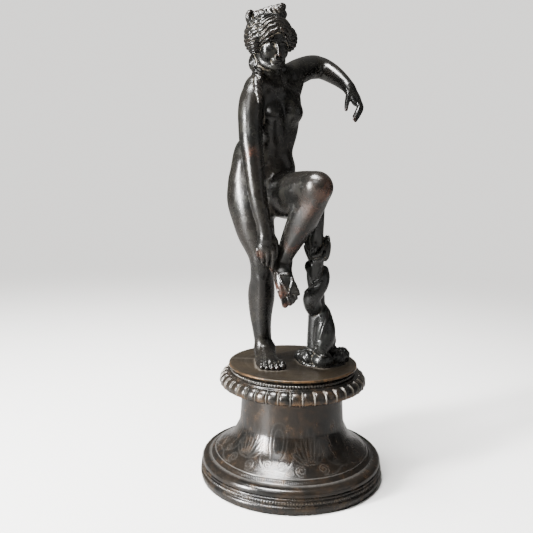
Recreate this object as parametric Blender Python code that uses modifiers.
"""A bronze statuette of the classical sandal-untying type, on a turned socle.

The figure stands on its right leg with the left foot raised, beside a post that a dolphin climbs.
It is built as a founder would build it: separate castings for the figure, its two arms and the
support, a socle turned in four hollow rings, and the iron fixings that hold it all together.

Metres, +Z up. The origin is the centre of the underside of the base, and the front faces -Y.
"""

import math

import bmesh
import bpy
from mathutils import Matrix, Vector

MM = 0.001
GAP = 0.3 * MM                      # clearance between neighbouring pieces

# The turned socle
FOOT_RADIUS = 60.0 * MM
FOOT_HEIGHT = 10.0 * MM
SOCLE_TOP = 61.0 * MM
NECK_RADIUS = 33.5 * MM
COLLAR_TOP = 73.6 * MM
DISC_RADIUS = 41.9 * MM
DISC_THICKNESS = 1.9 * MM
DISC_TOP = COLLAR_TOP + GAP + DISC_THICKNESS
WALL = 2.4 * MM                     # wall of the hollow turned rings
TURNING_STEPS = 48

# The iron fixings under the socle
ROD_RADIUS = 1.9 * MM
ROD_BOTTOM = 1.2 * MM
BOSS_RADIUS = 5.5 * MM
BOSS_DEPTH = 8.0 * MM
LEDGE_UNDERSIDE = 7.0 * MM
BRIDGE_LENGTH = 108.0 * MM
BRIDGE_WIDTH = 14.0 * MM
BRIDGE_THICKNESS = 2.0 * MM

# Small fixings that hold the castings
STUD_RADIUS = 1.5 * MM
FIGURE_STUD_AT = Vector((-19.0, -4.0, 0.0)) * MM
SUPPORT_STUD_AT = Vector((19.5, 1.0, 0.0)) * MM
STUD_REACH = 6.0 * MM               # how far a stud enters its casting
PIN_RADIUS = 1.25 * MM
PIN_HALF_LENGTH = 4.0 * MM

# The seams where the arms are pinned on: a point on each arm's axis and the way the arm leaves
RIGHT_SEAM_AT = Vector((-27.9, -19.0, 231.5)) * MM
RIGHT_SEAM_WAY = Vector((0.02, -0.30, -0.95))
LEFT_SEAM_AT = Vector((0.5, 24.5, 264.4)) * MM
LEFT_SEAM_WAY = Vector((0.50, 0.79, 0.33))

# Skin: how finely the cast forms are meshed
VOXEL = 1.1 * MM
FIGURE_SHARE = 0.065                # share of the fine mesh's faces kept on the figure
ARM_SHARE = 0.10
SUPPORT_SHARE = 0.075

# Limbs of the figure: (x, y, z, radius) of stations along each limb's axis, in millimetres
STANDING_LEG = [
    (-30.5, 3.0, 190.0, 13.2),
    (-30.2, 2.0, 181.5, 14.0),
    (-27.8, 1.0, 171.0, 13.3),
    (-25.3, -1.0, 162.0, 12.2),
    (-22.2, -3.3, 150.5, 9.2),
    (-21.2, -3.6, 141.5, 7.6),
    (-20.9, 0.6, 129.0, 7.9),
    (-21.4, 3.4, 117.0, 8.7),
    (-21.6, 4.0, 107.0, 7.6),
    (-20.7, 4.3, 95.0, 6.2),
    (-19.2, 3.8, 84.0, 5.6),
    (-18.0, 2.6, 80.0, 5.2),
]
RAISED_LEG = [
    (-16.0, 4.0, 186.0, 13.8),
    (-8.5, -6.0, 185.0, 13.8),
    (-0.5, -18.0, 186.8, 12.6),
    (6.5, -29.0, 189.6, 10.4),
    (12.6, -37.4, 190.8, 8.9),
]
RAISED_SHIN = [
    (12.4, -37.0, 189.8, 8.8),
    (9.2, -32.0, 181.5, 9.0),
    (4.8, -27.8, 172.3, 9.2),
    (1.0, -24.8, 164.3, 8.1),
    (-2.8, -22.2, 156.0, 6.6),
    (-6.9, -20.4, 144.0, 5.2),
]
RAISED_FOOT = [
    (-7.8, -20.0, 142.9, 5.6),
    (-6.8, -23.0, 137.0, 6.0),
    (-5.1, -25.4, 131.6, 5.8),
    (-3.6, -26.9, 127.0, 5.2),
    (-2.4, -28.2, 121.6, 4.0),
]
RIGHT_ARM = [
    (-24.9, -11.0, 248.6, 7.5),
    (-27.2, -14.5, 242.5, 7.9),
    (-28.1, -17.5, 234.5, 7.8),
    (-27.9, -20.5, 225.0, 7.4),
    (-27.0, -24.4, 212.5, 6.8),
    (-24.8, -27.0, 199.0, 6.3),
    (-21.4, -29.0, 178.5, 5.4),
    (-17.6, -29.2, 163.0, 4.5),
]
RIGHT_HAND = [
    (-17.6, -29.2, 163.0, 4.5),
    (-17.6, -29.4, 155.0, 5.2),
    (-17.0, -28.6, 150.0, 4.6),
    (-16.4, -27.2, 146.2, 3.2),
]
LEFT_ARM = [
    (-6.8, 13.0, 259.3, 8.2),
    (0.0, 23.0, 264.0, 8.2),
    (6.5, 34.0, 268.3, 7.8),
    (12.6, 43.4, 270.4, 7.1),
    (16.6, 40.6, 268.7, 7.0),
    (24.0, 32.6, 263.4, 6.1),
    (33.4, 21.5, 252.9, 4.3),
]
LEFT_HAND = [
    (33.4, 21.5, 252.9, 4.3),
    (37.0, 20.4, 247.0, 4.6),
    (40.0, 19.0, 241.0, 4.0),
    (37.6, 16.0, 234.6, 2.6),
]
SHOULDER_GIRDLE = [
    (-25.2, -11.0, 248.2, 7.6),
    (-15.6, -0.8, 250.5, 8.2),
    (-6.8, 13.0, 259.0, 8.0),
]
NECK = [
    (-15.6, -2.0, 249.0, 8.0),
    (-16.6, -4.6, 261.0, 6.8),
]
RIGHT_LOCK = [
    (-27.0, -4.0, 268.0, 3.4),
    (-24.6, -11.0, 260.0, 3.2),
    (-23.4, -18.6, 247.0, 2.6),
]

# Rounded masses: centre, half sizes and turn about Z in degrees, in millimetres
TORSO_MASSES = [
    ((-23.2, 3.2, 193.0), (18.8, 13.6, 17.5), 17),     # pelvis
    ((-16.6, 1.6, 211.0), (14.6, 11.8, 19.0), 28),     # waist
    ((-14.1, -0.2, 232.1), (15.6, 11.8, 20.0), 33),    # rib cage
    ((-2.3, -5.6, 234.9), (5.9, 5.5, 5.8), 33),        # her left breast
    ((-15.0, -13.0, 232.1), (5.9, 5.5, 5.8), 33),      # her right breast
    ((-19.1, 11.4, 184.0), (9.0, 9.0, 9.8), 17),       # left buttock
    ((-34.0, 8.0, 186.4), (9.0, 8.6, 9.8), 17),        # right buttock
    ((-33.4, 4.0, 209.0), (6.8, 8.5, 11.0), 0),        # right flank
]
HEAD_MASSES = [
    ((-17.9, -7.6, 279.0), (10.6, 12.8, 12.4), 25),    # skull
    ((-15.2, -11.0, 272.4), (8.6, 8.2, 12.0), 25),     # face and jaw
    ((-18.5, -6.2, 280.3), (14.4, 14.0, 12.6), 25),    # dressed hair
    ((-27.3, -12.6, 276.0), (4.6, 7.2, 6.6), 25),      # puff over her right ear
    ((-7.0, -4.6, 278.4), (4.6, 7.2, 6.6), 25),        # puff over her left ear
    ((-24.3, 7.2, 277.2), (7.0, 6.0, 6.8), 25),        # knot at the nape
    ((-28.6, -3.0, 291.8), (3.4, 4.8, 4.0), 0),        # left loop of the bow of hair
    ((-20.0, -3.2, 292.2), (9.0, 4.4, 4.6), 0),        # middle of the bow
    ((-12.0, -2.0, 297.3), (4.2, 4.5, 3.4), 0),        # right loop of the bow
]
STANDING_FOOT_MASSES = [
    ((-18.6, 5.0, 80.2), (5.6, 6.6, 5.4), 17),         # heel
    ((-17.2, -4.0, 79.6), (6.4, 10.5, 4.8), 17),       # instep
    ((-14.4, -13.6, 78.2), (9.0, 7.4, 3.0), 17),       # ball of the foot
    ((-12.6, -19.0, 77.8), (7.6, 4.6, 2.4), 17),       # toes
]

# The support: a leaning post, the dolphin that winds up it, and the waves at its foot
POST = [
    (15.8, 0.0, 80.0, 7.2),
    (15.2, -2.2, 105.0, 6.0),
    (14.0, -7.5, 140.0, 4.9),
    (13.6, -14.0, 170.0, 4.3),
    (14.0, -15.2, 176.0, 4.0),
]
DOLPHIN_BODY = [
    (17.4, -13.0, 87.0, 4.6),
    (18.6, -10.6, 92.0, 6.4),
    (20.1, -8.8, 99.0, 6.9),
    (19.2, -5.0, 108.5, 5.4),
    (16.0, 0.6, 111.0, 5.0),
    (11.8, -8.4, 117.0, 5.8),
    (12.6, -11.6, 122.6, 5.6),
    (16.8, -11.0, 129.4, 5.0),
    (18.4, -7.0, 136.5, 4.0),
]
TAIL_MASSES = [
    ((10.4, -12.4, 151.6), (4.8, 3.4, 8.4), 0),        # left fluke
    ((19.2, -10.8, 152.2), (2.6, 3.8, 7.9), 35),       # right fluke
    ((12.6, -10.6, 141.0), (5.4, 4.6, 6.6), 0),        # stock of the tail
]
ROCK_MASSES = [
    ((9.8, -3.0, 79.8), (5.6, 7.0, 5.6), 24),          # fin on her side
    ((6.8, 3.0, 78.4), (4.4, 6.0, 4.6), 60),           # wave behind it
    ((28.2, -3.2, 79.6), (5.8, 6.2, 5.2), -34),        # fin on the outer side
    ((31.4, 4.2, 79.4), (5.2, 6.2, 5.6), -66),         # wave behind it
    ((20.0, 5.5, 80.5), (10.5, 8.5, 6.5), 0),          # rock
    ((19.0, -10.2, 80.4), (6.9, 6.6, 5.4), 0),         # ball in the dolphin's mouth
]


def clear_scene():
    for item in list(bpy.data.objects):
        bpy.data.objects.remove(item, do_unlink=True)


def new_collection(name):
    collection = bpy.data.collections.new(name)
    bpy.context.scene.collection.children.link(collection)
    return collection


def metal(name, colour, roughness, metallic=1.0):
    material = bpy.data.materials.new(name)
    material.use_nodes = True
    shader = material.node_tree.nodes["Principled BSDF"]
    shader.inputs["Base Color"].default_value = (*colour, 1.0)
    shader.inputs["Roughness"].default_value = roughness
    shader.inputs["Metallic"].default_value = metallic
    return material


def add_object(name, mesh, collection, material=None):
    part = bpy.data.objects.new(name, mesh)
    collection.objects.link(part)
    if material:
        mesh.materials.append(material)
    return part


def mesh_from(shape, name):
    mesh = bpy.data.meshes.new(name)
    shape.to_mesh(mesh)
    shape.free()
    mesh.shade_smooth()
    mesh.set_sharp_from_angle(angle=math.radians(35))
    return mesh


def frame_along(way, at):
    """A placing matrix whose Z runs along `way`."""
    turn = Vector((0, 0, 1)).rotation_difference(way.normalized())
    return Matrix.Translation(at) @ turn.to_matrix().to_4x4()


# ---- cast forms -------------------------------------------------------------------------------

def limb_curve(stations):
    """A tube through the stations, with a radius at each one."""
    curve = bpy.data.curves.new("limb", "CURVE")
    curve.dimensions = "3D"
    curve.bevel_depth = MM
    curve.bevel_resolution = 4
    curve.resolution_u = 6
    curve.use_fill_caps = True
    spline = curve.splines.new("BEZIER")
    spline.bezier_points.add(len(stations) - 1)
    for point, (x, y, z, radius) in zip(spline.bezier_points, stations):
        point.co = Vector((x, y, z)) * MM
        point.radius = radius
        point.handle_left_type = "AUTO"
        point.handle_right_type = "AUTO"
    return curve


def add_limb(shape, stations):
    """Adds the tube, and a ball at each end, to a bmesh of overlapping closed forms."""
    curve = limb_curve(stations)
    carrier = bpy.data.objects.new("limb", curve)
    bpy.context.scene.collection.objects.link(carrier)
    evaluated = carrier.evaluated_get(bpy.context.evaluated_depsgraph_get())
    mesh = bpy.data.meshes.new_from_object(evaluated)
    shape.from_mesh(mesh)
    bmesh.ops.remove_doubles(shape, verts=shape.verts, dist=0.01 * MM)
    bpy.data.objects.remove(carrier)
    bpy.data.curves.remove(curve)
    bpy.data.meshes.remove(mesh)
    for x, y, z, radius in (stations[0], stations[-1]):
        add_mass(shape, (x, y, z), (radius, radius, radius), 0)


def add_mass(shape, centre, half_sizes, turn):
    """Adds one ellipsoid."""
    place = Matrix.Translation(Vector(centre) * MM)
    place = place @ Matrix.Rotation(math.radians(turn), 4, "Z")
    place = place @ Matrix.Diagonal((*(Vector(half_sizes) * MM), 1.0))
    bmesh.ops.create_uvsphere(shape, u_segments=24, v_segments=14, radius=1.0, matrix=place)


def cast_form(name, limbs, masses, share, collection, material):
    """One skin over overlapping limbs and masses, smoothed and thinned out."""
    shape = bmesh.new()
    for stations in limbs:
        add_limb(shape, stations)
    for centre, half_sizes, turn in masses:
        add_mass(shape, centre, half_sizes, turn)
    part = add_object(name, mesh_from(shape, name), collection, material)
    skin = part.modifiers.new("skin", "REMESH")
    skin.mode = "VOXEL"
    skin.voxel_size = VOXEL
    soften = part.modifiers.new("soften", "SMOOTH")
    soften.factor = 0.5
    soften.iterations = 6
    thin = part.modifiers.new("thin", "DECIMATE")
    thin.ratio = share
    return part


# ---- cutters ----------------------------------------------------------------------------------

def hide_cutter(cutter):
    cutter.hide_render = True
    cutter.display_type = "WIRE"


def rod_cutter(name, radius, start, end, collection):
    """A round cutter from `start` to `end`."""
    shape = bmesh.new()
    way = end - start
    bmesh.ops.create_cone(shape, cap_ends=True, segments=16, radius1=radius, radius2=radius,
                          depth=way.length, matrix=frame_along(way, (start + end) / 2))
    cutter = add_object(name, mesh_from(shape, name), collection)
    hide_cutter(cutter)
    return cutter


def block_cutter(name, sizes, place, collection):
    shape = bmesh.new()
    bmesh.ops.create_cube(shape, size=1.0, matrix=place @ Matrix.Diagonal((*sizes, 1.0)))
    cutter = add_object(name, mesh_from(shape, name), collection)
    hide_cutter(cutter)
    return cutter


def cut(part, cutter):
    boolean = part.modifiers.new(cutter.name, "BOOLEAN")
    boolean.operation = "DIFFERENCE"
    boolean.solver = "EXACT"
    boolean.object = cutter


def seam_block(name, at, way, side, collection):
    """A block that takes away everything on one side of a seam, near the limb only."""
    reach = 22 * MM
    depth = 30 * MM
    centre = at + way.normalized() * side * (depth - GAP) / 2
    return block_cutter(name, (reach, reach, depth), frame_along(way, centre), collection)


def cut_seam(body, arm, label, at, way, collection):
    """Parts an arm from the body at a flat seam and drills both for the dowel pin."""
    cut(body, seam_block(label + "_beyond", at, way, 1, collection))
    cut(arm, seam_block(label + "_before", at, way, -1, collection))
    ahead = way.normalized() * (PIN_HALF_LENGTH + GAP)
    bore = rod_cutter(label + "_bore", PIN_RADIUS + GAP, at - ahead, at + ahead, collection)
    cut(body, bore)
    cut(arm, bore)


# ---- turned and plain forms -------------------------------------------------------------------

def turned(name, outline, collection, material):
    """A ring turned about Z. The outline is closed and runs down its outer side first."""
    mesh = bpy.data.meshes.new(name)
    points = [(radius, 0.0, height) for radius, height in outline]
    edges = [(i, (i + 1) % len(points)) for i in range(len(points))]
    mesh.from_pydata(points, edges, [])
    part = add_object(name, mesh, collection, material)
    screw = part.modifiers.new("turn", "SCREW")
    screw.steps = TURNING_STEPS
    screw.render_steps = TURNING_STEPS
    screw.use_merge_vertices = True
    screw.merge_threshold = 0.01 * MM
    screw.use_normal_calculate = True
    screw.use_smooth_shade = True
    return part


def arc(centre, radius, start, end, steps):
    """Outline points round an arc, angles in degrees from +X towards +Z."""
    points = []
    for i in range(steps + 1):
        angle = math.radians(start + (end - start) * i / steps)
        points.append((centre[0] + radius * math.cos(angle), centre[1] + radius * math.sin(angle)))
    return points


def rod(name, radius, start, end, segments, collection, material):
    shape = bmesh.new()
    way = end - start
    bmesh.ops.create_cone(shape, cap_ends=True, segments=segments, radius1=radius, radius2=radius,
                          depth=way.length, matrix=frame_along(way, (start + end) / 2))
    part = add_object(name, mesh_from(shape, name), collection, material)
    return part


def fastener_ring(name, outer, inner, bottom, top, sides, at, collections, material):
    """A washer or a nut: a short prism with a round hole, standing on `bottom`."""
    parts, cutters = collections
    place = Vector((at.x, at.y, 0.0))
    low = place + Vector((0, 0, bottom))
    high = place + Vector((0, 0, top))
    ring = rod(name, outer, low, high, sides, parts, material)
    over = Vector((0, 0, MM))
    cut(ring, rod_cutter(name + "_hole", inner, low - over, high + over, cutters))
    return ring


# ---- the pieces -------------------------------------------------------------------------------

def make_foot_ring(parts, material):
    """The lowest ring, with an inner ledge for the iron bridge."""
    inner = FOOT_RADIUS - 5 * MM
    outline = [
        (FOOT_RADIUS - 1.2 * MM, FOOT_HEIGHT),
        (FOOT_RADIUS - 0.7 * MM, FOOT_HEIGHT - 0.6 * MM),
        (FOOT_RADIUS - 1.3 * MM, FOOT_HEIGHT - 1.2 * MM),
    ]
    outline += arc((FOOT_RADIUS - 1.4 * MM, 7.0 * MM), 1.2 * MM, 70, -70, 4)
    outline += [
        (FOOT_RADIUS - 0.8 * MM, 5.1 * MM),
        (FOOT_RADIUS, 4.4 * MM),
        (FOOT_RADIUS, 3.0 * MM),
        (FOOT_RADIUS - 0.9 * MM, 0.0),
        (inner, 0.0),
        (inner, LEDGE_UNDERSIDE),
        (inner - 4 * MM, LEDGE_UNDERSIDE),
        (inner - 4 * MM, FOOT_HEIGHT),
    ]
    return turned("foot_ring", outline, parts, material)


def socle_outer():
    """The waisted outline: straight neck, wide flare, flat band and a rounded lower edge."""
    neck_foot = 38 * MM
    band_top = (50.1 * MM, 17.9 * MM)
    outline = [(NECK_RADIUS, SOCLE_TOP), (NECK_RADIUS, 50 * MM), (NECK_RADIUS + 0.5 * MM, neck_foot)]
    steps = 7
    for i in range(1, steps):
        share = i / steps
        ease = share ** 1.9
        radius = NECK_RADIUS + 0.5 * MM + (band_top[0] - NECK_RADIUS - 0.5 * MM) * ease
        outline.append((radius, neck_foot + (band_top[1] - neck_foot) * share))
    outline.append(band_top)
    outline.append((53.1 * MM, 15.5 * MM))
    outline += arc((55.6 * MM, 11.6 * MM), 3.4 * MM, 95, -15, 6)
    outline.append((FOOT_RADIUS - 1.6 * MM, FOOT_HEIGHT + GAP))
    return outline


def make_socle(parts, material):
    """The waisted middle of the base, hollow, with a flange at the top."""
    outer = socle_outer()
    outline = outer + [(FOOT_RADIUS - 1.6 * MM - WALL, FOOT_HEIGHT + GAP)]
    inner = [(radius - WALL, height - 0.3 * WALL) for radius, height in reversed(outer[2:-4])]
    outline += inner
    outline += [
        (NECK_RADIUS - WALL, SOCLE_TOP - WALL),
        (NECK_RADIUS - 3 * WALL, SOCLE_TOP - WALL),
        (NECK_RADIUS - 3 * WALL, SOCLE_TOP),
    ]
    return turned("waisted_socle", outline, parts, material)


def make_collar(parts, material):
    """The gadrooned ring and its bead row; the lobes themselves are shallow."""
    underside = SOCLE_TOP + GAP
    top_inner = DISC_RADIUS - 7 * MM
    outline = [
        (39.0 * MM, COLLAR_TOP),
        (39.2 * MM, 72.7 * MM),
    ]
    outline += arc((39.6 * MM, 71.7 * MM), 0.95 * MM, 80, -80, 4)
    outline += [
        (42.4 * MM, 70.4 * MM),
        (42.4 * MM, 69.9 * MM),
    ]
    outline += arc((42.3 * MM, 64.4 * MM), 5.4 * MM, 80, -32, 8)
    outline += [
        (44.6 * MM, underside),
        (NECK_RADIUS - 3 * WALL, underside),
        (NECK_RADIUS - 3 * WALL, underside + WALL),
        (top_inner, underside + WALL),
        (top_inner, COLLAR_TOP),
    ]
    return turned("gadrooned_collar", outline, parts, material)


def make_disc(collections, material):
    """The round plinth plate the castings stand on, with a boss for the tie rod."""
    parts, cutters = collections
    bottom = DISC_TOP - DISC_THICKNESS
    rim = 0.5 * MM
    outline = [
        (0.0, DISC_TOP),
        (DISC_RADIUS - rim, DISC_TOP),
        (DISC_RADIUS, DISC_TOP - rim),
        (DISC_RADIUS, DISC_TOP - DISC_THICKNESS + rim),
        (DISC_RADIUS - 1.6 * MM, bottom),
        (BOSS_RADIUS, bottom),
        (BOSS_RADIUS, bottom - BOSS_DEPTH),
        (0.0, bottom - BOSS_DEPTH),
    ]
    disc = turned("plinth_disc", outline, parts, material)
    low = Vector((0, 0, bottom - BOSS_DEPTH - MM))
    cut(disc, rod_cutter("tapped_hole", ROD_RADIUS + GAP, low, Vector((0, 0, bottom)), cutters))
    for label, at in (("figure", FIGURE_STUD_AT), ("support", SUPPORT_STUD_AT)):
        start = at + Vector((0, 0, bottom - MM))
        end = at + Vector((0, 0, DISC_TOP + MM))
        cut(disc, rod_cutter(label + "_stud_hole", STUD_RADIUS + GAP, start, end, cutters))
    return disc


def make_tie(collections, iron):
    """The tie rod, the bridge across the foot ring, and their washer and nut."""
    parts, cutters = collections
    rod_top = DISC_TOP - DISC_THICKNESS - MM
    rod("tie_rod", ROD_RADIUS, Vector((0, 0, ROD_BOTTOM)), Vector((0, 0, rod_top)), 16, parts, iron)
    bridge_top = LEDGE_UNDERSIDE - GAP
    bridge_bottom = bridge_top - BRIDGE_THICKNESS
    centre = Matrix.Translation((0, 0, (bridge_top + bridge_bottom) / 2))
    shape = bmesh.new()
    sizes = (BRIDGE_LENGTH, BRIDGE_WIDTH, BRIDGE_THICKNESS, 1.0)
    bmesh.ops.create_cube(shape, size=1.0, matrix=centre @ Matrix.Diagonal(sizes))
    bridge = add_object("bridge_bar", mesh_from(shape, "bridge_bar"), parts, iron)
    low = Vector((0, 0, bridge_bottom - MM))
    high = Vector((0, 0, bridge_top + MM))
    cut(bridge, rod_cutter("bridge_hole", ROD_RADIUS + GAP, low, high, cutters))
    washer_bottom = bridge_bottom - GAP - 0.8 * MM
    axis = Vector((0, 0, 0))
    hole = ROD_RADIUS + GAP
    fastener_ring("tie_washer", 5.5 * MM, hole, washer_bottom, bridge_bottom - GAP, 24, axis,
                  collections, iron)
    fastener_ring("tie_nut", 4.2 * MM, hole, washer_bottom - GAP - 1.9 * MM, washer_bottom - GAP, 6,
                  axis, collections, iron)


def make_stud_set(label, at, casting, collections, iron):
    """A stud up through the disc into a casting, with its washer and nut under the disc."""
    parts, cutters = collections
    disc_bottom = DISC_TOP - DISC_THICKNESS
    washer_bottom = disc_bottom - GAP - 0.7 * MM
    nut_bottom = washer_bottom - GAP - 2.2 * MM
    start = at + Vector((0, 0, nut_bottom - MM))
    end = at + Vector((0, 0, DISC_TOP + STUD_REACH))
    rod(label + "_stud", STUD_RADIUS, start, end, 14, parts, iron)
    hole = STUD_RADIUS + GAP
    fastener_ring(label + "_washer", 4.0 * MM, hole, washer_bottom, disc_bottom - GAP, 20, at,
                  collections, iron)
    fastener_ring(label + "_nut", 3.2 * MM, hole, nut_bottom, washer_bottom - GAP, 6, at,
                  collections, iron)
    above = Vector((0, 0, GAP))
    cut(casting, rod_cutter(label + "_stud_bore", hole, start, end + above, cutters))


def stand_on_disc(casting, label, cutters):
    """Trims a casting flat, a gap above the disc."""
    depth = 12 * MM
    place = Matrix.Translation((0, 0, DISC_TOP + GAP - depth / 2))
    sizes = (2.4 * DISC_RADIUS, 2.4 * DISC_RADIUS, depth)
    cut(casting, block_cutter(label + "_trim", sizes, place, cutters))


def make_castings(collections, bronzes, steel):
    parts, cutters = collections
    body_limbs = [STANDING_LEG, RAISED_LEG, RAISED_SHIN, RAISED_FOOT, SHOULDER_GIRDLE, NECK,
                  RIGHT_LOCK, RIGHT_ARM[:4], LEFT_ARM[:3]]
    body_masses = TORSO_MASSES + HEAD_MASSES + STANDING_FOOT_MASSES
    body = cast_form("figure_body", body_limbs, body_masses, FIGURE_SHARE, parts, bronzes["figure"])
    right = cast_form("right_arm", [RIGHT_ARM[2:], RIGHT_HAND], [], ARM_SHARE, parts, bronzes["arm"])
    left = cast_form("left_arm", [LEFT_ARM[1:], LEFT_HAND], [], ARM_SHARE, parts, bronzes["arm"])
    support = cast_form("dolphin_support", [POST, DOLPHIN_BODY], TAIL_MASSES + ROCK_MASSES,
                        SUPPORT_SHARE, parts, bronzes["support"])

    for label, arm, at, way in (("right_arm", right, RIGHT_SEAM_AT, RIGHT_SEAM_WAY),
                                ("left_arm", left, LEFT_SEAM_AT, LEFT_SEAM_WAY)):
        cut_seam(body, arm, label, at, way, cutters)
        half = way.normalized() * PIN_HALF_LENGTH
        rod(label + "_pin", PIN_RADIUS, at - half, at + half, 14, parts, steel)

    stand_on_disc(body, "figure", cutters)
    stand_on_disc(support, "support", cutters)
    return body, support


def main():
    clear_scene()
    parts = new_collection("bronze_statuette")
    cutters = new_collection("cutters")
    collections = (parts, cutters)
    bronzes = {
        "figure": metal("figure_bronze", (0.055, 0.045, 0.038), 0.32),
        "arm": metal("arm_bronze", (0.058, 0.047, 0.040), 0.32),
        "support": metal("support_bronze", (0.060, 0.050, 0.042), 0.38),
    }
    disc_bronze = metal("disc_bronze", (0.16, 0.11, 0.065), 0.40)
    collar_bronze = metal("collar_bronze", (0.075, 0.055, 0.040), 0.30)
    socle_bronze = metal("socle_bronze", (0.070, 0.055, 0.042), 0.28)
    foot_bronze = metal("foot_bronze", (0.080, 0.065, 0.050), 0.34)
    iron = metal("wrought_iron", (0.10, 0.085, 0.075), 0.55)
    steel = metal("pin_steel", (0.35, 0.33, 0.30), 0.40)

    make_foot_ring(parts, foot_bronze)
    make_socle(parts, socle_bronze)
    make_collar(parts, collar_bronze)
    make_disc(collections, disc_bronze)
    make_tie(collections, iron)
    body, support = make_castings(collections, bronzes, steel)
    make_stud_set("figure", FIGURE_STUD_AT, body, collections, iron)
    make_stud_set("support", SUPPORT_STUD_AT, support, collections, iron)


main()
